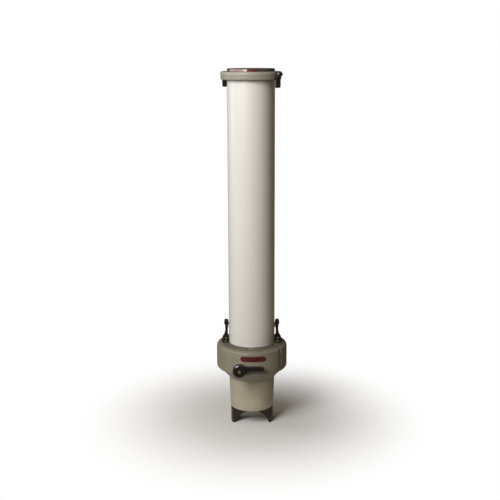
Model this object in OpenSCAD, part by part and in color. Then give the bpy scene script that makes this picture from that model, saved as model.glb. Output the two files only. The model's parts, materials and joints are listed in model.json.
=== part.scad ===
// Cartridge filter housing: a lidded tube on a valve collar, with a cup and an arch foot.
// Millimetres, +Z up, the lever faces -Y, and the origin is on the floor, midway between the
// lever's front and the pipe tails' ends. The tube's axis stands axis_y from it.

/* [Tube] */
// Outer diameter of the body tube
tube_d = 114.3; // [112:0.1:116]
// Wall of the body tube
tube_wall = 6; // [5:0.5:7]
// Length of the body tube
tube_len = 689; // [400:1:900]

/* [Collar] */
// Outer diameter of the collar
collar_d = 176; // [174:1:186]
// Height of the collar from its lower edge to its top face
collar_h = 89; // [88:1:100]
// Height of the cap that closes the collar
cap_h = 12; // [10:1:15]
// Depth of the tube's socket below the collar's top face
socket_depth = 32; // [30:1:34]

/* [Valve] */
// Sideways place of the valve's axis, left of the tube's axis
valve_x = 30.5; // [29:0.5:33]
// Height of the valve's axis above the collar's lower edge
valve_rise = 42.5; // [40:0.5:43]
// Radius of the turning rotor
rotor_r = 11; // [9:0.5:11]
// Radius of the stem that carries the lever
stem_r = 7; // [6:0.5:8]
// Radius of the lever's hub
hub_r = 16.3; // [14:0.1:18]
// Length of the lever from its axis to its tip
lever_len = 60.5; // [45:0.5:90]
// Width of the lever's arm
arm_w = 10.5; // [9:0.5:14]

/* [Lid] */
// Outer diameter of the lock ring
ring_d = 145; // [141:1:150]
// Diameter of the raised disc on the lid
disc_d = 113.6; // [105:0.2:114]
// Height of the raised disc above the lock ring
disc_h = 7; // [7:0.5:14]
// Diameter of the vent plug's shank
vent_d = 10; // [8:1:14]

/* [Latches] */
// Angle of the grip lugs round the lid, from the right towards the front
lug_angle = 33; // [0:1:45]
// Width of a grip lug
lug_w = 16; // [12:1:20]
// Width of a latch arm
latch_w = 16; // [12:1:18]
// Diameter of a latch pin
pin_d = 4.4; // [3:0.2:5]

/* [Cup and foot] */
// Height of the cup below the collar
cup_h = 82; // [60:1:160]
// Diameter of the cup where it enters the collar
cup_d = 113.8; // [110:0.2:115]
// Diameter of the cup at its bottom
cup_low_d = 108.8; // [106:0.2:113]
// Wall of the cup
cup_wall = 4.5; // [3:0.5:6]
// Height of the arch foot
foot_h = 41; // [38:1:60]
// Depth of the arch foot from front to back
foot_depth = 46; // [40:1:60]
// Width across the foot's two legs
foot_w = 106.6; // [100:0.2:107]

/* [Pipes] */
// Outer diameter of the pipe that the tails take
pipe_d = 42.2; // [34:0.1:43]
// Depth of the pipe's socket in a tail
pipe_depth = 28; // [20:1:40]
// Distance between the inlet's and the outlet's axes
port_gap = 68; // [68:1:70]

/* [Cartridge] */
// Outer diameter of the pleated media
media_d = 84; // [70:1:90]
// Number of pleats
pleats = 36; // [20:1:60]
// Diameter of the cartridge's core
core_d = 44; // [42:1:48]

/* [Hidden] */
$fn = 96;

GREY = [0.60, 0.59, 0.51];
WHITE = [0.93, 0.92, 0.88];
BLACK = [0.05, 0.05, 0.05];
CHARCOAL = [0.22, 0.21, 0.19];
RED = [0.42, 0.08, 0.10];
STEEL = [0.70, 0.70, 0.72];
RUBBER = [0.09, 0.09, 0.09];
MEDIA = [0.86, 0.87, 0.90];
BLUE = [0.25, 0.38, 0.60];

// Clearances
run_fit = 0.05;  // a pin or stem in its bore
gap = 0.3;       // two pieces that move past each other
eps = 0.01;      // overlap of a cut with the face that it leaves through

// Heights of the stack
collar_z = foot_h + cup_h;
collar_top = collar_z + collar_h;
cap_z = collar_top - cap_h;
tube_z = collar_top - socket_depth;
tube_top = tube_z + tube_len;
floor_z = collar_z + 16;
floor_top = floor_z + 8;

// Tube and lid
tube_r = tube_d / 2;
bore_r = tube_r - tube_wall;
socket_r = tube_r + gap;
ring_r = ring_d / 2;
disc_r = disc_d / 2;
band_h = 9.5;                       // lower band of the rim
ring_skirt = 11;                    // how far the rim reaches below the tube's end
neck_r = ring_r - 6.8;              // threaded neck of the tube's top ring
flange_h = 4;                       // the lid plate's flange and the lock ring's lip
ring_top = tube_top + 2 * flange_h;
disc_top = ring_top + disc_h;
plug_len = 22;
plug_z = tube_top - plug_len;
plug_wall = 5;
lid_groove_r = bore_r - 3.4;
seal_wire = 1.7;                    // radius of the O-ring cord

// Collar
collar_r = collar_d / 2;
chamber_r = socket_r - 7.45;
channel_in = socket_r + 7.5;        // the ring channel that spreads the inlet water
channel_out = collar_r - 5;
channel_z = floor_top + 8;
cup_neck_top = floor_z - 4;
cup_r = cup_d / 2;
screw_count = 6;
screw_ring_r = channel_in + 4;
screw_start = 27;                   // clear of the latches, the ports and the valve
notch_angle = 37;                   // the notch in the collar, from the right towards the front
notch_w = 9;
notch_r = collar_r - 2.6;
notch_low = collar_z + 38;

// Valve
valve_z = collar_z + valve_rise;
block_r = rotor_r + 4.4;
block_back = -27;
rotor_back = -30;
rotor_front = -76;
boss_front = -collar_r - 2.5;
gland_lip = 2;
hub_back = boss_front - gland_lip - 0.5;
hub_t = 14;
drive = 9;                          // square end of the stem
way_y = -42;                        // the drain way through the rotor
way_r = 6;
arm_rise = 4.4;                     // the arm's middle above the lever's axis
arm_t = 9;

// Latches
pivot_r = tube_r + 7.6;
pivot_z = collar_top + 9.5;
latch_h = 44.2;                     // from the pivot to the top of the arm
catch_top = pivot_z + 34.5;
catch_h = 9;
catch_out = 2.6;
latch_in = pivot_r - 4.6;           // inner face of an arm
ear_t = 4.5;
arm_gap = 0.3;
knuckle_r = 6;
pin_r = pin_d / 2;
plate_t = 2.2;                      // the bracket's plate on the collar
plate_half = 21;
plate_screw = [pivot_r + 1, 17];    // out from the tube's axis, and to each side
plate_screw_r = 1.5;

// Cup, foot and drain
cup_low_r = cup_low_d / 2;
cup_base = 6;
drain_r = 9;
drain_head_r = 14;
drain_head_h = 11;
drain_seal_h = 2.3;
foot_screw_x = 32;
arch_half = 42.5;
arch_top = foot_h - 9;

// Pipes
port_x = port_gap / 2;
port_z = floor_top + 14;
neck_out = 27;
neck_bore = 17.5;
neck_y = collar_r + 16;
nut_y = neck_y - 12;
gasket_t = 2.5;
tail_flange_t = 3;
tail_flange_r = 26;
tail_wall = 2.9;
tail_r = pipe_d / 2 + tail_wall;
socket_fit = 0.05;
tail_stop = 5;
lip_y = neck_y + gasket_t + tail_flange_t + gap;
lip_t = 4.5;
elbow_r = 13.8;
elbow_bore = 11;
elbow_end = collar_r - 2;
tail_end = neck_y + gasket_t + tail_flange_t + lip_t + tail_stop + pipe_depth;
screw_seat = 3;                     // how deep the lever's screw lies in the hub
screw_head = 3.4;
lever_front = hub_back - hub_t + screw_seat - screw_head;
axis_y = -(tail_end + lever_front) / 2;

// Cartridge
spigot_r = 15.5;
spigot_bore = 11;
spigot_seat = tube_z + 13;
spigot_top = spigot_seat + 17;
cart_z = spigot_seat + gap;
cap_t = 14;
core_r = core_d / 2;
core_wall = 2.5;
media_r = media_d / 2;
end_cap_r = media_r + 2;
pad_h = 8;
cart_top = plug_z - pad_h;
media_z = cart_z + cap_t - 2;
media_top = cart_top - 10;

// Moves a piece that is drawn round the tube's axis to its place
module placed() {
    translate([0, axis_y, 0]) children();
}

// A ring with a square section from z to z + h
module ring(r_out, r_in, z, h) {
    translate([0, 0, z]) difference() {
        cylinder(r = r_out, h = h);
        translate([0, 0, -eps]) cylinder(r = r_in, h = h + 2 * eps);
    }
}

// An O-ring lying flat at height z
module o_ring(major, wire, z) {
    translate([0, 0, z]) rotate_extrude() translate([major, 0]) circle(r = wire, $fn = 32);
}

// A cylinder along +Y from y0 to y1
module y_rod(r, x, z, y0, y1, n = $fn) {
    translate([x, y1, z]) rotate([90, 0, 0]) cylinder(r = r, h = y1 - y0, $fn = n);
}

// A cap screw standing on z, head upwards, with a hexagon socket
module cap_screw(shank_r, len, head_r, head_h) {
    difference() {
        union() {
            translate([0, 0, -len]) cylinder(r = shank_r, h = len, $fn = 32);
            cylinder(r = head_r, h = head_h, $fn = 32);
        }
        translate([0, 0, head_h * 0.4]) cylinder(r = head_r * 0.55, h = head_h, $fn = 6);
    }
}

// Places its children at each collar screw
module at_collar_screws() {
    for (i = [0 : screw_count - 1])
        rotate([0, 0, screw_start + i * 360 / screw_count]) translate([screw_ring_r, 0, 0]) children();
}

// Turns its children from +X to a grip lug: 1 is the right, in front, and -1 the left, behind
module at_lug(side) {
    rotate([0, 0, side > 0 ? -lug_angle : 180 - lug_angle]) children();
}

// Turns its children from +X to a latch: 1 is the right one and -1 the left one
module at_latch(side) {
    rotate([0, 0, side > 0 ? 0 : 180]) children();
}

// The screws' places on a bracket's plate
module at_plate_screws() {
    for (side = [-1, 1], s = [-1, 1]) at_latch(side)
        translate([plate_screw[0], s * plate_screw[1], collar_top]) children();
}

// A shallow notch down the collar's shoulder and wall
module collar_notch() {
    rotate([0, 0, -notch_angle]) translate([notch_r, -notch_w / 2, notch_low])
        cube([collar_r, notch_w, collar_h]);
}

// ---- Tube and lid ----

module body_tube() { color(WHITE) placed() ring(tube_r, bore_r, tube_z, tube_len); }

module tube_top_ring() {
    color(GREY) placed() rotate_extrude() polygon([
        [tube_r + run_fit, tube_top - ring_skirt], [ring_r - 2, tube_top - ring_skirt],
        [ring_r - 0.5, tube_top - ring_skirt + 1.5], [ring_r - 0.5, tube_top - ring_skirt + band_h],
        [neck_r, tube_top - ring_skirt + band_h], [neck_r, tube_top], [tube_r + run_fit, tube_top]]);
}

module tube_catches() {
    color(WHITE) placed() for (side = [-1, 1]) at_latch(side) difference() {
        translate([tube_r - 3, -6, catch_top - catch_h]) cube([3 + catch_out, 12, catch_h]);
        translate([0, 0, catch_top - catch_h - eps]) cylinder(r = tube_r + run_fit, h = catch_h + 2 * eps);
        translate([tube_r + catch_out, -7, catch_top - catch_h]) rotate([0, -30, 0])
            translate([0, 0, -6]) cube([8, 14, 9]);
    }
}

tube_seal_wire = 2.2;
module tube_seal() { color(RUBBER) placed() o_ring(tube_r + 2.35, tube_seal_wire, cap_z - 2.25); }

module lid_plate() {
    color(CHARCOAL) placed() difference() {
        rotate_extrude() polygon([
            [0, plug_z], [bore_r - 0.4 - 1, plug_z], [bore_r - 0.4, plug_z + 1], [bore_r - 0.4, tube_top],
            [neck_r - 2.7, tube_top], [neck_r - 2.7, tube_top + flange_h], [disc_r, tube_top + flange_h],
            [disc_r, disc_top - 1], [disc_r - 1, disc_top], [0, disc_top]]);
        translate([0, 0, plug_z - eps]) cylinder(r = bore_r - plug_wall - 1, h = plug_len - 4);
        ring(bore_r, lid_groove_r, tube_top - 12 - 2, 4);
        translate([0, 0, disc_top - 6]) cylinder(r = vent_d / 2 + 7, h = 6 + eps);
        translate([0, 0, plug_z]) cylinder(r = vent_d / 2 + run_fit, h = 60);
    }
}

module lid_seal() { color(RUBBER) placed() o_ring(lid_groove_r + seal_wire, seal_wire, tube_top - 12); }

// The label wraps the disc's front edge from 59 degrees left of the middle to 19 degrees right of it
module lid_label() {
    color(RED) placed() translate([0, 0, ring_top + 0.8])
        rotate([0, 0, -149]) rotate_extrude(angle = 78) translate([disc_r + run_fit, 0])
            square([0.4, disc_h - 2.2]);
}

vent_seat = disc_top - 6;
module vent_plug() {
    color(BLACK) placed() difference() {
        union() {
            translate([0, 0, tube_top - 6]) cylinder(r = vent_d / 2, h = vent_seat - tube_top + 6);
            translate([0, 0, vent_seat + 1.5]) cylinder(r = vent_d / 2 + 4.5, h = 4);
            translate([0, 0, vent_seat - eps]) cylinder(r = vent_d / 2, h = 2);
        }
        translate([-vent_d, -1, vent_seat + 3.5]) cube([2 * vent_d, 2, 4]);
    }
}

module vent_seal() { color(RUBBER) placed() ring(vent_d / 2 + 4, vent_d / 2 + 0.2, vent_seat, 1.4); }

module lock_ring() {
    color(GREY) placed() difference() {
        rotate_extrude() polygon([
            [neck_r + gap, tube_top - ring_skirt + band_h + gap],
            [ring_r, tube_top - ring_skirt + band_h + gap],
            [ring_r, ring_top - 2.5], [ring_r - 0.8, ring_top - 0.8], [ring_r - 2.5, ring_top],
            [disc_r + 0.5, ring_top], [disc_r + 0.5, tube_top + flange_h],
            [neck_r + gap, tube_top + flange_h]]);
        for (side = [-1, 1]) at_lug(side) translate([ring_r - 5, 0, tube_top + 3])
            rotate([0, 90, 0]) cylinder(r = 1.55, h = 10, $fn = 32);
    }
}

lug_in = ring_r + 0.05;
lug_out = ring_r + 5;
lug_low = tube_top - ring_skirt - 18.5;
module grip_lug(side) {
    color(BLACK) placed() at_lug(side) difference() {
        translate([0, lug_w / 2, 0]) rotate([90, 0, 0]) linear_extrude(lug_w) polygon([
            [ring_r - 8, lug_low + 3], [ring_r + 1.5, lug_low], [ring_r + 4, lug_low + 0.5],
            [lug_out - 0.5, lug_low + 3], [lug_out, lug_low + 7], [lug_out, tube_top - 5],
            [lug_out + 4.5, tube_top - 1.5], [lug_out + 6, tube_top + 2],
            [lug_out + 4, tube_top + 5.5], [ring_r + 4.5, ring_top], [ring_r - 8, ring_top]]);
        translate([0, 0, lug_low - 1]) cylinder(r = lug_in, h = 60);
        translate([ring_r - 2, 0, tube_top + 3]) rotate([0, 90, 0]) cylinder(r = 1.7, h = 20, $fn = 32);
        translate([lug_out, 0, tube_top + 3]) rotate([0, 90, 0]) cylinder(r = 3.2, h = 20, $fn = 32);
    }
}
module grip_lug_left() { grip_lug(-1); }
module grip_lug_right() { grip_lug(1); }

module lug_screws() {
    color(STEEL) placed() for (side = [-1, 1]) at_lug(side) translate([lug_out, 0, tube_top + 3])
        rotate([0, 90, 0]) cap_screw(1.5, 9, 3, 2.5);
}

// ---- Collar ----

module collar_shell() {
    rotate_extrude() polygon(concat(
        [[0, floor_z], [cup_r + gap, floor_z], [cup_r + gap, collar_z], [cup_r + 2.5, collar_z],
         [collar_r - 8, collar_z + 22.5]],
        [for (a = [-45 : 15 : 0]) [collar_r - 8 + 8 * cos(a), collar_z + 30 + 8 * sin(a)]],
        [[collar_r, cap_z], [0, cap_z]]));
}

module port_neck(side) {
    y_rod(neck_out, side * port_x, port_z, channel_in + 8, neck_y);
}

module collar_body() {
    window_angles = [-78, -55, -12, 12, 168, 192];
    color(GREY) placed() difference() {
        union() {
            difference() {
                collar_shell();
                translate([0, 0, floor_top]) cylinder(r = chamber_r, h = collar_h);
                translate([0, 0, tube_z]) cylinder(r = socket_r, h = collar_h);
                ring(socket_r + 4.8, socket_r - 1, cap_z - 4.7, 6);
                ring(channel_out, channel_in, channel_z, cap_z);
                for (a = window_angles) rotate([0, 0, a])
                    translate([chamber_r - 3, -7, channel_z + 1]) cube([channel_in - chamber_r + 6, 14, 13]);
            }
            at_collar_screws() translate([0, 0, channel_z - 1])
                cylinder(r = 5, h = cap_z - channel_z + 1 - 6.3);
            y_rod(block_r, -valve_x, valve_z, boss_front + 8, block_back);
            y_rod(hub_r - 0.8, -valve_x, valve_z, boss_front, boss_front + 14);
            difference() {
                port_neck(-1);
                translate([0, 0, floor_z]) cylinder(r = channel_in + 1, h = collar_h);
            }
            difference() {
                port_neck(1);
                translate([0, 0, floor_z]) cylinder(r = channel_in + 1, h = collar_h);
            }
            y_rod(elbow_r + 4, port_x, port_z, 46, channel_out);
        }
        // the tube's socket again, clear of what was added
        translate([0, 0, tube_z]) cylinder(r = socket_r, h = collar_h);
        // inlet: from the ring channel out of its neck
        y_rod(neck_bore, -port_x, port_z, channel_in - 7, neck_y + 1);
        // outlet: the elbow's own bore, then the neck's
        y_rod(elbow_r + 0.1, port_x, port_z, 0, elbow_end + 2);
        y_rod(neck_bore, port_x, port_z, elbow_end + gap, neck_y + 1);
        // valve: rotor bore, gland bore and the drain way down to the cup
        y_rod(rotor_r + run_fit, -valve_x, valve_z, boss_front - 1, rotor_back);
        translate([-valve_x, way_y, floor_z - 1]) cylinder(r = way_r, h = 40, $fn = 48);
        at_collar_screws() translate([0, 0, cap_z - 22]) cylinder(r = 2.1, h = 30, $fn = 32);
        collar_notch();
    }
}

module collar_cap() {
    color(GREY) placed() difference() {
        rotate_extrude() polygon([
            [socket_r, cap_z], [channel_in + gap, cap_z], [channel_in + gap, cap_z - 5],
            [channel_in + 3, cap_z - 5], [channel_in + 3, cap_z], [collar_r, cap_z],
            [collar_r - 0.7, cap_z + 3], [collar_r - 2.8, cap_z + 6],
            [collar_r - 12, collar_top - 0.6], [collar_r - 13.5, collar_top],
            [socket_r + 1.2, collar_top], [socket_r, collar_top - 1.2]]);
        at_collar_screws() {
            translate([0, 0, cap_z - 8]) cylinder(r = 2.7, h = 30, $fn = 32);
            translate([0, 0, collar_top - 4]) cylinder(r = 4.6, h = 5, $fn = 32);
            translate([0, 0, cap_z - 8]) cylinder(r = 5.6, h = 8, $fn = 32);
        }
        at_plate_screws() translate([0, 0, -9]) cylinder(r = plate_screw_r + run_fit, h = 10, $fn = 32);
        collar_notch();
    }
}

module collar_screws() {
    color(STEEL) placed() at_collar_screws() translate([0, 0, collar_top - 4]) cap_screw(2.05, 26, 4.2, 3.5);
}

// A plain bar with round ends, curved round the collar's front
badge_w = 62;
badge_h = 13;
badge_z = collar_z + 68;
module collar_badge() {
    color(RED) placed() intersection() {
        ring(collar_r + 0.9, collar_r + run_fit, badge_z - badge_h, 2 * badge_h);
        translate([3, -collar_r + 30, badge_z]) rotate([90, 0, 0]) linear_extrude(60) union() {
            square([badge_w - badge_h, badge_h], center = true);
            for (s = [-1, 1]) translate([s * (badge_w - badge_h) / 2, 0]) circle(r = badge_h / 2, $fn = 48);
        }
    }
}

// ---- Latches ----

// Two ears on a plate that is screwed to the collar's top face
module latch_bracket(side) {
    inner = latch_w / 2 + arm_gap;
    back = pivot_r - 6;
    color(BLACK) placed() difference() {
        at_latch(side) union() {
            translate([back, -plate_half, collar_top]) cube([14, 2 * plate_half, plate_t]);
            for (s = [-1, 1]) translate([0, s > 0 ? inner + ear_t : -inner, 0]) rotate([90, 0, 0])
                linear_extrude(ear_t) polygon([
                    [back, collar_top], [pivot_r + 9.3, collar_top], [pivot_r + 9.3, collar_top + 5],
                    [pivot_r + 7.6, collar_top + 9.5], [pivot_r + 4, collar_top + 14.5],
                    [pivot_r - 3, collar_top + 15], [back, collar_top + 12]]);
        }
        at_latch(side) translate([pivot_r, 0, pivot_z]) rotate([90, 0, 0])
            cylinder(r = pin_r + run_fit, h = 60, center = true);
        at_plate_screws() translate([0, 0, -1]) cylinder(r = plate_screw_r + 0.2, h = 5, $fn = 32);
    }
}
module latch_bracket_left() { latch_bracket(-1); }
module latch_bracket_right() { latch_bracket(1); }

// Outline of an arm from its pivot: a knuckle, a waist, and a head with a hook over the tube's catch
module latch_arm(side) {
    hook_z = catch_top + gap;
    top_z = pivot_z + latch_h;
    color(BLACK) placed() at_latch(side) difference() {
        translate([0, latch_w / 2, 0]) rotate([90, 0, 0]) union() {
            translate([pivot_r, pivot_z, 0]) cylinder(r = knuckle_r, h = latch_w);
            linear_extrude(latch_w) polygon([
                [latch_in, pivot_z], [latch_in, hook_z], [tube_r + 0.9, hook_z], [tube_r + 1.2, hook_z + 5],
                [latch_in - 0.8, top_z - 1], [latch_in + 1, top_z],
                [pivot_r + 2.5, top_z], [pivot_r + 4.2, top_z - 2.5],
                [pivot_r + 4.2, top_z - 7], [pivot_r + 2, top_z - 13],
                [pivot_r + 1.6, pivot_z + 20], [pivot_r + 2.8, pivot_z + 12], [pivot_r + 5.8, pivot_z + 1]]);
        }
        translate([pivot_r, 0, pivot_z]) rotate([90, 0, 0])
            cylinder(r = pin_r + run_fit, h = 60, center = true);
    }
}
module latch_arm_left() { latch_arm(-1); }
module latch_arm_right() { latch_arm(1); }

module bracket_screws() {
    color(STEEL) placed() at_plate_screws() translate([0, 0, plate_t])
        cap_screw(plate_screw_r, 9, 2.9, 1.8);
}

module latch_pins() {
    color(STEEL) placed() for (side = [-1, 1]) at_latch(side)
        translate([pivot_r, 0, pivot_z]) rotate([90, 0, 0])
            cylinder(r = pin_r, h = latch_w + 2 * (arm_gap + ear_t) - 0.4, center = true);
}

// ---- Valve ----

module valve_rotor() {
    color(WHITE) placed() difference() {
        union() {
            y_rod(rotor_r, -valve_x, valve_z, rotor_front, rotor_back - gap);
            y_rod(stem_r, -valve_x, valve_z, hub_back, rotor_front);
            translate([-valve_x - drive / 2, hub_back - 10, valve_z - drive / 2]) cube([drive, 11, drive]);
        }
        // closed at rest: the way through the rotor lies across the drain way
        translate([-valve_x, way_y, valve_z]) rotate([0, 90, 0])
            cylinder(r = way_r, h = 60, center = true, $fn = 48);
        for (y = [-66, -56]) translate([-valve_x, y, valve_z]) rotate([90, 0, 0])
            ring(rotor_r + 1, rotor_r - 2.2, -1.6, 3.2);
        y_rod(2.1, -valve_x, valve_z, hub_back - 11, hub_back + 8, 32);
    }
}

module stem_seals() {
    color(RUBBER) placed() for (y = [-66, -56]) translate([-valve_x, y, valve_z]) rotate([90, 0, 0])
        o_ring(rotor_r - 1.15, 1.05, 0);
}

module stem_gland() {
    color(BLACK) placed() difference() {
        union() {
            y_rod(rotor_r, -valve_x, valve_z, boss_front, rotor_front - gap);
            y_rod(rotor_r + 2.5, -valve_x, valve_z, boss_front - gland_lip, boss_front);
        }
        y_rod(stem_r + run_fit, -valve_x, valve_z, boss_front - 5, rotor_front + 5);
    }
}

// The lever lies to the right at rest; its outline is a hub that tapers into a flat arm
module lever_handle() {
    tip_r = arm_w / 2;
    color(BLACK) placed() translate([-valve_x, hub_back, valve_z]) rotate([90, 0, 0]) difference() {
        union() {
            cylinder(r = hub_r, h = hub_t - 2);
            translate([0, 0, hub_t - 2]) cylinder(r1 = hub_r, r2 = hub_r - 3, h = 2);
            linear_extrude(arm_t) union() {
                polygon([[2, hub_r - 1.2], [22, arm_rise + tip_r], [22, arm_rise - tip_r],
                    [9, -hub_r + 3.5]]);
                translate([8, arm_rise - tip_r]) square([lever_len - tip_r - 8, arm_w]);
                translate([lever_len - tip_r, arm_rise]) circle(r = tip_r, $fn = 48);
            }
        }
        translate([-drive / 2 - 0.05, -drive / 2 - 0.05, -1]) cube([drive + 0.1, drive + 0.1, 11.2]);
        cylinder(r = 2.4, h = 20, $fn = 32);
        translate([0, 0, hub_t - screw_seat]) cylinder(r = 4, h = 5, $fn = 48);
    }
}

module lever_screw() {
    color(STEEL) placed() translate([-valve_x, hub_back - hub_t + screw_seat, valve_z])
        rotate([90, 0, 0]) cap_screw(2, 14, 3.6, screw_head);
}

// ---- Outlet ----

module outlet_elbow() {
    color(GREY) placed() difference() {
        union() {
            translate([0, 0, port_z]) cylinder(r = spigot_r, h = spigot_top - port_z);
            translate([0, 0, port_z]) sphere(r = elbow_r);
            translate([0, 0, port_z]) rotate([0, 90, 0]) cylinder(r = elbow_r, h = port_x);
            translate([port_x, 0, port_z]) sphere(r = elbow_r);
            y_rod(elbow_r, port_x, port_z, 0, elbow_end);
            translate([0, 0, spigot_seat - 3]) cylinder(r = spigot_r + 4, h = 3);
        }
        translate([0, 0, port_z]) cylinder(r = spigot_bore, h = spigot_top);
        translate([0, 0, port_z]) sphere(r = elbow_bore);
        translate([0, 0, port_z]) rotate([0, 90, 0]) cylinder(r = elbow_bore, h = port_x);
        translate([port_x, 0, port_z]) sphere(r = elbow_bore);
        y_rod(elbow_bore, port_x, port_z, 0, collar_r + 10);
        ring(spigot_r + 1, spigot_r - 2, spigot_top - 7.8, 3.4);
        translate([port_x, 78, port_z]) rotate([90, 0, 0]) ring(elbow_r + 1, elbow_r - 1.4, -1.3, 2.6);
    }
}

module elbow_seal() {
    color(RUBBER) placed() translate([port_x, 78, port_z]) rotate([90, 0, 0]) o_ring(elbow_r - 0.65, 0.72, 0);
}

module spigot_seal() { color(RUBBER) placed() o_ring(spigot_r - 0.75, 1.2, spigot_top - 6.1); }

// ---- Cartridge ----

module cartridge_media() {
    color(MEDIA) placed() translate([0, 0, media_z]) linear_extrude(media_top - media_z) difference() {
        polygon([for (i = [0 : 2 * pleats - 1])
            let (r = i % 2 == 0 ? media_r : core_r + 4, a = i * 180 / pleats) [r * cos(a), r * sin(a)]]);
        circle(r = core_r + 0.3);
    }
}

module cartridge_core() {
    hole_pitch = 45;
    rows = floor((media_top - media_z - 40) / hole_pitch);
    color(WHITE) placed() difference() {
        ring(core_r, core_r - core_wall, media_z, media_top - media_z);
        for (i = [0 : rows]) translate([0, 0, media_z + 30 + i * hole_pitch]) rotate([90, 0, (i % 2) * 90])
            cylinder(r = 5, h = 2 * core_r + 10, center = true, $fn = 24);
    }
}

module cartridge_bottom_cap() {
    color(BLUE) placed() difference() {
        translate([0, 0, cart_z]) cylinder(r = end_cap_r, h = cap_t);
        translate([0, 0, cart_z - 1]) cylinder(r = spigot_r + 0.5, h = cap_t + 2);
        ring(media_r + 0.2, core_r - core_wall - 0.1, media_z, 20);
    }
}

module cartridge_top_cap() {
    color(BLUE) placed() difference() {
        translate([0, 0, media_top - 2]) cylinder(r = end_cap_r, h = cart_top - media_top + 2);
        ring(media_r + 0.2, core_r - core_wall - 0.1, media_top - 22, 22);
    }
}

module hold_down_pad() {
    color(RUBBER) placed()
        ring(bore_r - plug_wall + 2.5, bore_r - plug_wall - 9, cart_top, pad_h - gap);
}

// ---- Cup, drain and foot ----

module sump_cup() {
    color(GREY) placed() difference() {
        union() {
            difference() {
                rotate_extrude() polygon([
                    [0, foot_h], [cup_low_r - 3, foot_h], [cup_low_r - 0.9, foot_h + 0.9],
                    [cup_low_r, foot_h + 3], [cup_r, collar_z], [cup_r, cup_neck_top], [0, cup_neck_top]]);
                rotate_extrude() polygon([
                    [0, foot_h + cup_base], [cup_low_r - cup_wall - 3, foot_h + cup_base],
                    [cup_low_r - cup_wall, foot_h + cup_base + 3], [cup_r - cup_wall, collar_z],
                    [cup_r - cup_wall, cup_neck_top + 1], [0, cup_neck_top + 1]]);
            }
            translate([0, 0, foot_h + 1]) cylinder(r = drain_r + 6, h = cup_base + 5);
            for (s = [-1, 1]) translate([s * foot_screw_x, 0, foot_h + 1]) cylinder(r = 6, h = cup_base + 8);
        }
        translate([0, 0, foot_h - 1]) cylinder(r = drain_r + run_fit, h = cup_base + 10);
        for (s = [-1, 1]) translate([s * foot_screw_x, 0, foot_h - 1])
            cylinder(r = 1.95, h = cup_base + 7, $fn = 32);
    }
}

module cup_seal() { color(RUBBER) placed() o_ring(cup_r - 2.25, 1.95, (cup_neck_top + floor_z) / 2); }

module drain_plug() {
    head_z = foot_h - drain_seal_h - 0.2 - drain_head_h;
    color(BLACK) placed() difference() {
        union() {
            translate([0, 0, head_z]) cylinder(r = drain_head_r, h = drain_head_h);
            translate([0, 0, head_z + 5]) cylinder(r = drain_r, h = foot_h + cup_base + 5 - head_z - 5);
        }
        // two flats for the fingers
        for (s = [-1, 1]) translate([-20, s > 0 ? 3.5 : -23.5, head_z - 1]) cube([40, 20, 7]);
    }
}

module drain_seal() {
    color(RUBBER) placed() ring(drain_head_r - 0.6, drain_r + 0.2, foot_h - drain_seal_h - 0.1, drain_seal_h);
}

module foot_stand() {
    arch_r = (arch_half * arch_half + arch_top * arch_top) / (2 * arch_top);
    color(BLACK) placed() difference() {
        intersection() {
            translate([-foot_w / 2, -foot_depth / 2, 0]) cube([foot_w, foot_depth, foot_h]);
            cylinder(r = foot_w / 2, h = foot_h);
        }
        y_rod(arch_r, 0, arch_top - arch_r, -foot_depth, foot_depth);
        cylinder(r = drain_head_r + 1, h = foot_h + 1);
        for (s = [-1, 1]) translate([s * foot_screw_x, 0, 0]) {
            cylinder(r = 2.2, h = foot_h + 1, $fn = 32);
            cylinder(r = 4.4, h = foot_h - 6, $fn = 32);
        }
    }
}

module foot_screws() {
    color(STEEL) placed() for (s = [-1, 1]) translate([s * foot_screw_x, 0, foot_h - 6])
        rotate([180, 0, 0]) cap_screw(1.9, 16, 4, 3);
}

// ---- Pipe unions ----

module tail(side) {
    y1 = neck_y + gasket_t;
    y2 = y1 + tail_flange_t;
    y3 = tail_end;
    color(GREY) placed() difference() {
        union() {
            y_rod(tail_flange_r, side * port_x, port_z, y1, y2);
            y_rod(tail_r, side * port_x, port_z, y2 - 1, y3);
        }
        y_rod(neck_bore, side * port_x, port_z, y1 - 1, y3);
        y_rod(pipe_d / 2 + socket_fit, side * port_x, port_z, y3 - pipe_depth, y3 + 1);
    }
}
module inlet_tail() { tail(-1); }
module outlet_tail() { tail(1); }

module union_nut(side) {
    ribs = 12;
    nut_r = neck_out + 4.3;
    color(BLACK) placed() difference() {
        union() {
            y_rod(nut_r, side * port_x, port_z, nut_y, lip_y + lip_t);
            for (i = [0 : ribs - 1]) let (a = i * 360 / ribs)
                y_rod(2, side * port_x + (nut_r - 0.8) * cos(a), port_z + (nut_r - 0.8) * sin(a),
                    nut_y + 2, lip_y + lip_t - 2, 24);
        }
        y_rod(neck_out + gap, side * port_x, port_z, nut_y - 1, lip_y);
        y_rod(tail_r + gap, side * port_x, port_z, lip_y - 1, lip_y + lip_t + 1);
    }
}
module inlet_nut() { union_nut(-1); }
module outlet_nut() { union_nut(1); }

module union_gaskets() {
    color(RUBBER) placed() for (side = [-1, 1]) difference() {
        y_rod(tail_flange_r - 1, side * port_x, port_z, neck_y, neck_y + gasket_t);
        y_rod(neck_bore + 1, side * port_x, port_z, neck_y - 1, neck_y + gasket_t + 1);
    }
}

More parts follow.
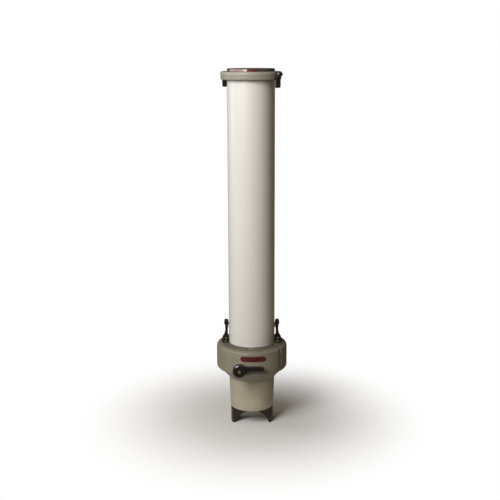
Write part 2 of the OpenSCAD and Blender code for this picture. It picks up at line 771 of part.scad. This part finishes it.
body_tube();
tube_top_ring();
tube_catches();
tube_seal();
lid_plate();
lid_seal();
lid_label();
vent_plug();
vent_seal();
lock_ring();
grip_lug_left();
grip_lug_right();
lug_screws();
collar_body();
collar_cap();
collar_screws();
collar_badge();
latch_bracket_left();
latch_bracket_right();
latch_arm_left();
latch_arm_right();
latch_pins();
bracket_screws();
valve_rotor();
stem_seals();
stem_gland();
lever_handle();
lever_screw();
outlet_elbow();
elbow_seal();
spigot_seal();
cartridge_media();
cartridge_core();
cartridge_bottom_cap();
cartridge_top_cap();
hold_down_pad();
sump_cup();
cup_seal();
drain_plug();
drain_seal();
foot_stand();
foot_screws();
inlet_tail();
outlet_tail();
inlet_nut();
outlet_nut();
union_gaskets();
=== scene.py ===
"""Cartridge filter housing: finishes, rounded mouldings, floor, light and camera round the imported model."""
import json
import math

import bpy
from mathutils import Matrix, Vector

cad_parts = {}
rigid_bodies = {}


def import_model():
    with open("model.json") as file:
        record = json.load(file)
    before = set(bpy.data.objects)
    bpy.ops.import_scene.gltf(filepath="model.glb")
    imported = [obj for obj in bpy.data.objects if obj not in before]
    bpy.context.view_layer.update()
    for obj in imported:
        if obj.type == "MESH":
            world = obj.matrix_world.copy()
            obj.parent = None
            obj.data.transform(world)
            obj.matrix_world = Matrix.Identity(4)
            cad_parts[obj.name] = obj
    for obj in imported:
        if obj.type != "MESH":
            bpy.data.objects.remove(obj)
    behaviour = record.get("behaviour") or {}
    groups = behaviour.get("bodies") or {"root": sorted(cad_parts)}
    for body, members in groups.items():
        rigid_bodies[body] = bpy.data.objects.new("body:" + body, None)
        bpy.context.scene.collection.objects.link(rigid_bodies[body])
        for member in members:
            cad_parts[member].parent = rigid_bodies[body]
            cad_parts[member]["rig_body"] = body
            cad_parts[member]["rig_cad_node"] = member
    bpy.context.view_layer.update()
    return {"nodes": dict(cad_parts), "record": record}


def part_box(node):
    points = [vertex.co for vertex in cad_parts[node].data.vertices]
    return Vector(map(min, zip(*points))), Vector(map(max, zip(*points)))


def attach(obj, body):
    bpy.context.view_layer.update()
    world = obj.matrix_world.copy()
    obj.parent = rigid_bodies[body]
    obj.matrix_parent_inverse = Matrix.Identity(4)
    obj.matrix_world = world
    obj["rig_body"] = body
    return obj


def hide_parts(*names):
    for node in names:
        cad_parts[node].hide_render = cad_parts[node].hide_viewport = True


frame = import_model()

NODES = frame["nodes"]
MM = 0.001


def middle(node):
    low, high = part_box(node)
    return (low + high) / 2


AXIS = middle("body_tube")                    # the tube's axis, in X and Y
COLLAR_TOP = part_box("collar_body")[1].z
RIM_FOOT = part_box("lock_ring")[0].z
LID_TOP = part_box("lid_plate")[1].z


# ---- Shader maths ----

class Wire:
    """A socket of a node tree. Arithmetic on it adds Math nodes."""

    def __init__(self, recipe, socket):
        self.recipe, self.socket = recipe, socket

    def maths(self, operation, *terms):
        return self.recipe.add("Math", {"operation": operation}, dict(enumerate(terms)))

    def __add__(self, other):
        return self.maths("ADD", self, other)

    def __sub__(self, other):
        return self.maths("SUBTRACT", self, other)

    def __rsub__(self, other):
        return self.maths("SUBTRACT", other, self)

    def __mul__(self, other):
        return self.maths("MULTIPLY", self, other)

    __radd__, __rmul__ = __add__, __mul__

    def rise(self, low, high):
        """0 below low, 1 above high, and smooth between them."""
        return self.recipe.add("MapRange", {"interpolation_type": "SMOOTHSTEP"},
                               {"Value": self, "From Min": low, "From Max": high})


class Recipe:
    """A material while it is being put together."""

    def __init__(self, name):
        self.material = bpy.data.materials.new(name)
        self.material.use_nodes = True
        self.tree = self.material.node_tree
        self.tree.nodes.clear()
        self.place = self.add("TexCoord", {}, {}, "Object")

    def add(self, kind, settings, inputs, output=0):
        """A node of this kind: its settings come first, then the values or links of its sockets."""
        node = self.tree.nodes.new("ShaderNode" + kind)
        for key, value in settings.items():
            setattr(node, key, value)
        for key, value in inputs.items():
            if isinstance(value, Wire):
                self.tree.links.new(value.socket, node.inputs[key])
            else:
                node.inputs[key].default_value = value
        return Wire(self, node.outputs[output])

    def axis(self, letter):
        return self.add("SeparateXYZ", {}, {0: self.place}, letter)

    def upward(self):
        """The up part of the surface's direction, 1 on a level top."""
        normal = self.add("TexCoord", {}, {}, "Normal")
        return self.add("SeparateXYZ", {}, {0: normal}, "Z")

    def noise(self, scale, detail=2.0, stretch=(1, 1, 1), roughness=0.5):
        """Soft noise from 0 to 1, with scale features in a metre.
        A small stretch draws it out along that axis."""
        at = self.place
        if tuple(stretch) != (1, 1, 1):
            at = self.add("Mapping", {}, {"Vector": at, "Scale": stretch})
        return self.add("TexNoise", {}, {"Vector": at, "Scale": scale, "Detail": detail,
                                         "Roughness": roughness})

    def paint(self, mask, under, over):
        """The colour over where mask is 1, and the colour under where it is 0."""
        sides = {6: under, 7: over}
        sides = {k: v if isinstance(v, Wire) else (*v, 1.0) for k, v in sides.items()}
        return self.add("Mix", {"data_type": "RGBA"}, {0: mask, **sides}, 2)

    def round_the_tube(self):
        """The angle round the tube's axis in degrees: 0 to the right, -90 in front."""
        return self.add("Math", {"operation": "ARCTAN2"},
                        {0: self.axis("Y") - AXIS.y, 1: self.axis("X") - AXIS.x}) * (180 / math.pi)

    def done(self, colour, roughness, height=None, depth=0.0001, **fixed):
        """Joins the shader: height is in depths, and fixed holds the shader's own sockets."""
        links = {"Base Color": colour if isinstance(colour, Wire) else (*colour, 1.0),
                 "Roughness": roughness}
        if height is not None:
            links["Normal"] = self.add("Bump", {}, {"Strength": 1.0, "Distance": depth,
                                                    "Height": height})
        links.update({key.replace("_", " "): value for key, value in fixed.items()})
        shader = self.add("BsdfPrincipled", {}, links)
        self.join(shader)
        return self.material

    def join(self, shader):
        out = self.tree.nodes.new("ShaderNodeOutputMaterial")
        self.tree.links.new(shader.socket, out.inputs["Surface"])


# ---- Finishes ----

def tinted(colour, by):
    return tuple(min(1.0, c * by) for c in colour)


DUST = (0.52, 0.50, 0.46)
HAND_DUST = (0.60, 0.57, 0.50)
SPECK_BROWN = (0.46, 0.42, 0.34)
TALC = (0.16, 0.16, 0.155)
RIM_SHADE = (30 * MM, 21 * MM, 20 * MM, 19 * MM)     # below the lock ring: where it starts, is full, and ends
DUST_RISE = (4 * MM, 50 * MM)                        # above the collar: where dust is full, and where it ends


def moulded(name, colour, roughness, dust=0.12, grain=0.35, coat=0.0, painted_top_shade=0.0):
    """Injection-moulded plastic: a fine spark-eroded grain, cloudy flow marks, hairline scuffs and a little
    dust. Level faces can be darkened with painted shade."""
    r = Recipe(name)
    cloud = r.noise(24, 3)
    flow = r.noise(9, 4, (1, 1, 3.5), 0.6)
    fleck = r.noise(900, 2).rise(0.62, 0.75)
    scuff = r.noise(70, 5, (1, 1, 0.12), 0.7).rise(0.63, 0.78)
    settled = r.upward().rise(0.35, 0.95) * r.noise(45, 4).rise(0.35, 0.7)
    body = r.paint(cloud.rise(0.3, 0.7), tinted(colour, 0.93), tinted(colour, 1.06))
    body = r.paint(fleck * 0.25, body, tinted(colour, 0.7))
    body = r.paint(scuff * 0.22, body, tuple(c * 1.15 + 0.05 for c in colour))
    body = r.paint(settled * dust, body, DUST)
    # painted shade: level top faces darkened towards 0.22 of the colour, with a little noise
    if painted_top_shade:
        top_shade_mask = r.upward().rise(0.75, 0.98) * (0.7 + r.noise(60, 4) * 0.6)
        body = r.paint(top_shade_mask * painted_top_shade, body, tinted(colour, 0.22))
    gloss = roughness + (flow - 0.5) * 0.16 + scuff * 0.12 + settled * dust
    height = r.noise(2600, 2) * grain + r.noise(160, 3) * 0.55 - scuff * 0.25
    return r.done(body, gloss, height, 0.00012, Coat_Weight=coat, Coat_Roughness=0.25)


def drawn_tube(name, colour):
    """Extruded white pipe: long die lines, faint clouds, and a dull print of hands low down."""
    r = Recipe(name)
    z = r.axis("Z")
    lines = r.noise(420, 3, (1, 1, 0.004), 0.6)
    broad = r.noise(38, 2, (1, 1, 0.01))
    cloud = r.noise(7, 4, (1, 1, 0.6))
    speck = r.noise(520, 1).rise(0.735, 0.78)
    start, full, last, end = (RIM_FOOT - drop for drop in RIM_SHADE)
    rim_shade = z.rise(start, full) * (1 - z.rise(last, end))
    low_dust = 1 - z.rise(*(COLLAR_TOP + rise for rise in DUST_RISE))
    low_dust = low_dust * r.noise(60, 4).rise(0.3, 0.75)
    body = r.paint(cloud.rise(0.3, 0.7), tinted(colour, 0.975), colour)
    body = r.paint((broad - 0.5).rise(0.0, 0.3) * 0.10, body, tinted(colour, 0.9))
    body = r.paint(speck * 0.5, body, SPECK_BROWN)
    body = r.paint(rim_shade * 0.35, body, tinted(colour, 0.86))
    body = r.paint(low_dust * 0.30, body, HAND_DUST)
    gloss = 0.34 + (cloud - 0.5) * 0.18 + low_dust * 0.2
    return r.done(body, gloss, lines * 0.5 + broad * 0.8, 0.00008,
                  Coat_Weight=0.12, Coat_Roughness=0.15)


def machined(name, colour):
    """Stainless screws and pins: turning marks and a few dull spots."""
    r = Recipe(name)
    turned = r.noise(1400, 2, (1, 1, 6))
    dull = r.noise(160, 3).rise(0.45, 0.7)
    body = r.paint(dull * 0.5, colour, tinted(colour, 0.72))
    return r.done(body, 0.27 + turned * 0.14 + dull * 0.16, turned, 0.00005, Metallic=1.0)


def rubber(name, colour):
    """Nitrile rubber with talc in its grain."""
    r = Recipe(name)
    talc = r.noise(240, 4).rise(0.5, 0.8)
    body = r.paint(talc * 0.35, colour, TALC)
    return r.done(body, 0.62 + talc * 0.15, r.noise(1800, 3), 0.00012)


def pleated(name, colour):
    """Spun filter fabric: crossing fibres, a dimpled bond pattern and greyer stains."""
    r = Recipe(name)
    fibres = r.noise(1500, 3, (1, 1, 0.15)) + r.noise(1500, 3, (0.2, 0.2, 1))
    bond = r.add("TexVoronoi", {}, {"Vector": r.place, "Scale": 420.0})
    stain = r.noise(22, 4).rise(0.4, 0.8)
    body = r.paint(stain * 0.4, colour, tinted(colour, 0.82))
    body = r.paint(bond.rise(0.25, 0.05) * 0.2, body, tinted(colour, 0.7))
    return r.done(body, 0.85, fibres + bond, 0.0002, Sheen_Weight=0.2)


def cast_cap(name, colour):
    """Cast urethane end caps: a soft skin with small bubbles and cloudy tone."""
    r = Recipe(name)
    bubbles = r.add("TexVoronoi", {}, {"Vector": r.place, "Scale": 260.0}).rise(0.16, 0.08)
    cloud = r.noise(30, 4)
    body = r.paint(cloud.rise(0.3, 0.75), tinted(colour, 0.88), tinted(colour, 1.1))
    body = r.paint(bubbles * 0.3, body, tinted(colour, 0.6))
    return r.done(body, 0.48 + cloud * 0.15, r.noise(300, 3) - bubbles * 0.4, 0.00015)


ROSE = (0.42, 0.26, 0.27)
PAPER = (0.62, 0.60, 0.55)
DARK_RED = (0.17, 0.012, 0.016)
BROWN_RED = (0.11, 0.022, 0.018)
ENAMEL_DARK = (0.095, 0.008, 0.012)
ENAMEL_LIGHT = (0.125, 0.014, 0.019)
# The label's blocks from left to right, after the rose one: the angles where each starts and is full
BAND_BLOCKS = [(-108.5, -107.5, PAPER), (-99.8, -99.0, DARK_RED), (-85.0, -82.0, BROWN_RED)]
BAND_LEFT_END = (-149.0, -147.6)


def printed_band(name):
    """The label round the lid's disc: plain blocks of rose, paper white and red under a clear film."""
    r = Recipe(name)
    angle = r.round_the_tube()
    body = ROSE
    for start, full, colour in BAND_BLOCKS:
        body = r.paint(angle.rise(start, full), body, colour)
    body = r.paint(angle.rise(*BAND_LEFT_END), PAPER, body)
    wear = r.noise(140, 4).rise(0.55, 0.75)
    body = r.paint(wear * 0.25, body, (0.24, 0.21, 0.19))
    return r.done(body, 0.36 + wear * 0.2, r.noise(700, 2) * 0.5, 0.00006,
                  Coat_Weight=0.3, Coat_Roughness=0.2)


def badge_enamel(name):
    """A plain dark red plate with clouds in its enamel and fine scratches."""
    r = Recipe(name)
    scratch = r.noise(260, 4, (1, 1, 6)).rise(0.62, 0.75)
    cloud = r.noise(80, 3)
    body = r.paint(cloud.rise(0.3, 0.7), ENAMEL_DARK, ENAMEL_LIGHT)
    body = r.paint(scratch * 0.4, body, (0.20, 0.09, 0.09))
    height = r.noise(1200, 2) * 0.4 - scratch * 0.3
    return r.done(body, 0.38 + scratch * 0.2 + cloud * 0.1, height, 0.00008)


FINISH = {
    "tube": drawn_tube("white_pipe", (0.868, 0.86, 0.82)),
    "rim": moulded("rim_grey", (0.40, 0.396, 0.33), 0.44),
    # the ring under the lock ring: a darker copy of the rim grey, painted shade
    "rim_band": moulded("band_grey", (0.33, 0.326, 0.275), 0.5),
    "collar": moulded("collar_grey", (0.285, 0.262, 0.199), 0.46),
    # the cap: a slightly darker copy of the collar grey, with painted shade on its level faces
    "collar_top": moulded("collar_top_grey", (0.27, 0.248, 0.188), 0.46, 0.0, painted_top_shade=0.75),
    "cup": moulded("cup_grey", (0.45, 0.412, 0.315), 0.48),
    "disc": moulded("charcoal_disc", (0.085, 0.078, 0.068), 0.42),
    "black": moulded("gloss_black", (0.014, 0.012, 0.011), 0.24, 0.05, 0.12, 0.3),
    "leg": moulded("foot_black", (0.013, 0.008, 0.003), 0.45, 0.02, 0.3),
    "white": moulded("white_plastic", (0.80, 0.80, 0.76), 0.4),
    "steel": machined("stainless", (0.62, 0.61, 0.60)),
    "seal": rubber("seal_rubber", (0.022, 0.022, 0.022)),
    "media": pleated("filter_fabric", (0.76, 0.78, 0.80)),
    "blue": cast_cap("blue_urethane", (0.045, 0.12, 0.33)),
    "label": printed_band("label_blocks"),
    "badge": badge_enamel("badge_red"),
}

WEARS = {
    "tube": ["body_tube", "tube_catches"],
    "rim": ["lock_ring"],
    "rim_band": ["tube_top_ring"],
    "collar_top": ["collar_cap"],
    "collar": ["collar_body", "inlet_tail", "outlet_tail", "outlet_elbow"],
    "cup": ["sump_cup"],
    "disc": ["lid_plate"],
    "black": ["vent_plug", "grip_lug_left", "grip_lug_right", "latch_bracket_left", "latch_bracket_right",
              "latch_arm_left", "latch_arm_right", "stem_gland", "lever_handle", "drain_plug",
              "inlet_nut", "outlet_nut"],
    "leg": ["foot_stand"],
    "white": ["valve_rotor", "cartridge_core"],
    "steel": ["lug_screws", "collar_screws", "latch_pins", "bracket_screws", "lever_screw", "foot_screws"],
    "seal": ["tube_seal", "lid_seal", "vent_seal", "stem_seals", "elbow_seal", "spigot_seal", "cup_seal",
             "drain_seal", "union_gaskets", "hold_down_pad"],
    "media": ["cartridge_media"],
    "blue": ["cartridge_bottom_cap", "cartridge_top_cap"],
    "label": ["lid_label"],
    "badge": ["collar_badge"],
}

for finish, nodes in WEARS.items():
    for node in nodes:
        materials = NODES[node].data.materials
        materials.clear()
        materials.append(FINISH[finish])


# ---- Rounded mouldings ----

SAME_POINT = 0.002 * MM
FLAT_ENOUGH = math.radians(0.6)
SHARP_EDGE = math.radians(32)
SMOOTH_EDGE = math.radians(30)
EDGE_SEGMENTS = 2
LID_BORDER, LID_SUNK = 3.5 * MM, 1.6 * MM


def nothing_selected():
    bpy.ops.object.select_all(action="DESELECT")


def only(piece):
    nothing_selected()
    piece.select_set(True)
    bpy.context.view_layer.objects.active = piece


def modifier(piece, kind, **settings):
    """Adds a modifier and applies it."""
    only(piece)
    made = piece.modifiers.new(kind.title(), kind)
    for key, value in settings.items():
        setattr(made, key, value)
    bpy.ops.object.modifier_apply(modifier=made.name)


def faces_where(piece, test):
    """Selects the faces of a piece whose middle and normal pass the test, in face mode."""
    only(piece)
    bpy.ops.object.mode_set(mode="EDIT")
    bpy.ops.mesh.select_mode(type="FACE")
    bpy.ops.mesh.select_all(action="DESELECT")
    bpy.ops.object.mode_set(mode="OBJECT")
    for face in piece.data.polygons:
        face.select = bool(test(face.center, face.normal))
    bpy.ops.object.mode_set(mode="EDIT")


def body_that_carries(node):
    return next(body for body, nodes in frame["record"]["behaviour"]["bodies"].items() if node in nodes)


def rounded(node, radius, finish, sink=None):
    """A copy of a CAD moulding with its doubles merged and its sharp edges rounded, as a mould leaves them.
    The faces that sink picks are set in and lowered first."""
    only(NODES[node])
    bpy.ops.object.duplicate()
    piece = bpy.context.view_layer.objects.active
    piece.name = piece.data.name = node + "_moulding"
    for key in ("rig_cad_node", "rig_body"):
        if key in piece:
            del piece[key]
    piece.parent = None
    piece.matrix_world = Matrix.Identity(4)
    only(piece)
    if piece.data.has_custom_normals:
        bpy.ops.mesh.customdata_custom_splitnormals_clear()
    bpy.ops.object.mode_set(mode="EDIT")
    bpy.ops.mesh.select_all(action="SELECT")
    bpy.ops.mesh.remove_doubles(threshold=SAME_POINT)
    bpy.ops.mesh.dissolve_limited(angle_limit=FLAT_ENOUGH)
    bpy.ops.object.mode_set(mode="OBJECT")
    if sink:
        faces_where(piece, sink)
        bpy.ops.mesh.inset(thickness=LID_BORDER, depth=-LID_SUNK, use_boundary=True)
        bpy.ops.object.mode_set(mode="OBJECT")
    modifier(piece, "BEVEL", width=radius, segments=EDGE_SEGMENTS, limit_method="ANGLE",
             angle_limit=SHARP_EDGE, harden_normals=False, use_clamp_overlap=True)
    modifier(piece, "TRIANGULATE")
    only(piece)
    bpy.ops.object.shade_smooth_by_angle(angle=SMOOTH_EDGE)
    piece.data.materials.clear()
    piece.data.materials.append(FINISH[finish])
    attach(piece, body_that_carries(node))
    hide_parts(node)


ROUNDED = [          # the node, the radius of its edges in mm, and its finish
    ("grip_lug_left", 0.9, "black"), ("grip_lug_right", 0.9, "black"),
    ("latch_arm_left", 0.9, "black"), ("latch_arm_right", 0.9, "black"),
    ("latch_bracket_left", 0.5, "black"), ("latch_bracket_right", 0.5, "black"),
    ("foot_stand", 1.2, "leg"), ("lever_handle", 1.2, "black"),
    ("inlet_nut", 0.7, "black"), ("outlet_nut", 0.7, "black"),
    ("drain_plug", 0.6, "black"), ("vent_plug", 0.4, "black"),
    ("tube_top_ring", 0.5, "rim_band"), ("lock_ring", 0.5, "rim"), ("collar_cap", 0.5, "collar_top"),
    ("inlet_tail", 0.5, "collar"), ("outlet_tail", 0.5, "collar"), ("sump_cup", 0.6, "cup"),
    ("collar_body", 0.5, "collar"),
]
for node, radius, finish in ROUNDED:
    rounded(node, radius * MM, finish)


RIB_COUNT = 12
RIB_LENGTH, RIB_WIDTH, RIB_HEIGHT = 30 * MM, 2.2 * MM, 1.6 * MM
RIB_INNER = 17 * MM                   # from the lid's middle to a rib's inner end
RIB_TIP = 0.6                         # the outer end's width, as a share of the inner end's
RIB_MIDDLE = 1.1 * MM                 # below the lid's top
RIB_EDGE = 0.45 * MM


def lid_ribs():
    """Low radial ribs in the lid's recessed top, each a bar with bevelled edges, turned round the vent."""
    bars = []
    for i in range(RIB_COUNT):
        turn = 2 * math.pi * (i + 0.5) / RIB_COUNT
        nothing_selected()
        bpy.ops.mesh.primitive_cube_add(size=1)
        bar = bpy.context.view_layer.objects.active
        bar.data.transform(Matrix.Diagonal((RIB_LENGTH, RIB_WIDTH, RIB_HEIGHT, 1)))
        bar.data.transform(Matrix.Translation((RIB_INNER + RIB_LENGTH / 2, 0, 0)))
        faces_where(bar, lambda centre, normal: normal.x > 0.9)
        bpy.ops.transform.resize(value=(1, RIB_TIP, 1))
        bpy.ops.object.mode_set(mode="OBJECT")
        bar.data.transform(Matrix.Rotation(turn, 4, "Z"))
        bar.data.transform(Matrix.Translation((AXIS.x, AXIS.y, LID_TOP - RIB_MIDDLE)))
        bars.append(bar)
    nothing_selected()
    for bar in bars:
        bar.select_set(True)
    bpy.context.view_layer.objects.active = bars[0]
    bpy.ops.object.join()
    ribs = bpy.context.view_layer.objects.active
    ribs.name = ribs.data.name = "lid_ribs"
    modifier(ribs, "BEVEL", width=RIB_EDGE, segments=EDGE_SEGMENTS, limit_method="ANGLE")
    bpy.ops.object.shade_smooth_by_angle(angle=SMOOTH_EDGE)
    ribs.data.materials.append(FINISH["disc"])
    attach(ribs, "lid")


def on_lid_top(centre, normal):
    return normal.z > 0.9 and centre.z > LID_TOP - 0.2 * MM


rounded("lid_plate", 0.5 * MM, "disc", sink=on_lid_top)
lid_ribs()


# ---- Floor, light and camera ----

FLOOR_RADIUS = 4.0
FLOOR_FADE = (0.07, 0.46)             # from the middle: where the floor starts to fade, and where it is gone
FLOOR_WHITE = (0.93, 0.93, 0.925, 1.0)
nothing_selected()
bpy.ops.mesh.primitive_circle_add(vertices=96, radius=FLOOR_RADIUS, fill_type="TRIFAN")
floor = bpy.context.view_layer.objects.active
floor.name = "studio_floor"


def pale_floor():
    """A pale studio floor that fades out into the white beyond it."""
    r = Recipe("pale_floor")
    away = r.add("VectorMath", {"operation": "LENGTH"}, {0: r.place}, "Value")
    shader = r.add("BsdfPrincipled", {}, {"Base Color": FLOOR_WHITE, "Roughness": 0.7,
                                          "Alpha": 1 - away.rise(*FLOOR_FADE)})
    r.join(shader)
    return r.material


floor.data.materials.append(pale_floor())


AIM_HEIGHT = 0.5


def softbox(name, azimuth, height, away, size, watts, tint):
    """An area light that looks at the tube's middle; azimuth 0 is in front and -90 on the left."""
    lamp = bpy.data.lights.new(name, "AREA")
    lamp.shape, lamp.size, lamp.size_y = "RECTANGLE", *size
    lamp.energy, lamp.color = watts, tint
    stand = bpy.data.objects.new(name, lamp)
    bpy.context.scene.collection.objects.link(stand)
    a = math.radians(azimuth)
    stand.location = (AXIS.x + away * math.sin(a), AXIS.y - away * math.cos(a), height)
    aim = Vector((AXIS.x, AXIS.y, AIM_HEIGHT)) - stand.location
    stand.rotation_mode = "QUATERNION"
    stand.rotation_quaternion = aim.to_track_quat("-Z", "Y")


softbox("key", -33, 1.40, 1.65, (0.8, 0.9), 30, (1.0, 0.995, 0.975))
softbox("side_strip", -100, 1.0, 1.6, (0.35, 1.2), 4, (0.97, 0.99, 1.0))

WHITE_BEYOND = (1.0, 1.0, 1.0, 1.0)              # what the camera sees past the floor
WARM_FILL = (0.11, 0.085, 0.055, 1.0)            # what lights the object from all round

world = bpy.data.worlds.new("studio")
bpy.context.scene.world = world
world.use_nodes = True
tree = world.node_tree
tree.nodes.clear()
seen = tree.nodes.new("ShaderNodeBackground")
seen.inputs["Color"].default_value = WHITE_BEYOND
ambient = tree.nodes.new("ShaderNodeBackground")
ambient.inputs["Color"].default_value = WARM_FILL
path = tree.nodes.new("ShaderNodeLightPath")
either = tree.nodes.new("ShaderNodeMixShader")
world_out = tree.nodes.new("ShaderNodeOutputWorld")
tree.links.new(path.outputs["Is Camera Ray"], either.inputs["Fac"])
tree.links.new(ambient.outputs[0], either.inputs[1])
tree.links.new(seen.outputs[0], either.inputs[2])
tree.links.new(either.outputs[0], world_out.inputs["Surface"])
bpy.context.scene.view_settings.view_transform = "Standard"

CAMERA_SIDE, CAMERA_AWAY, CAMERA_HEIGHT = -0.002, -2.168, 0.925      # from the tube's axis and the floor
LOOK_DOWN, ROLL = 12.5, 0.2                                          # degrees
SENSOR_WIDTH, LENS = 36.0, 64.8                                      # mm

camera_data = bpy.data.cameras.new("camera")
camera = bpy.data.objects.new("camera", camera_data)
bpy.context.scene.collection.objects.link(camera)
camera_data.sensor_width, camera_data.lens = SENSOR_WIDTH, LENS
camera.location = (AXIS.x + CAMERA_SIDE, AXIS.y + CAMERA_AWAY, CAMERA_HEIGHT)
camera.rotation_euler = (math.radians(90 - LOOK_DOWN), math.radians(ROLL), 0.0)
bpy.context.scene.camera = camera
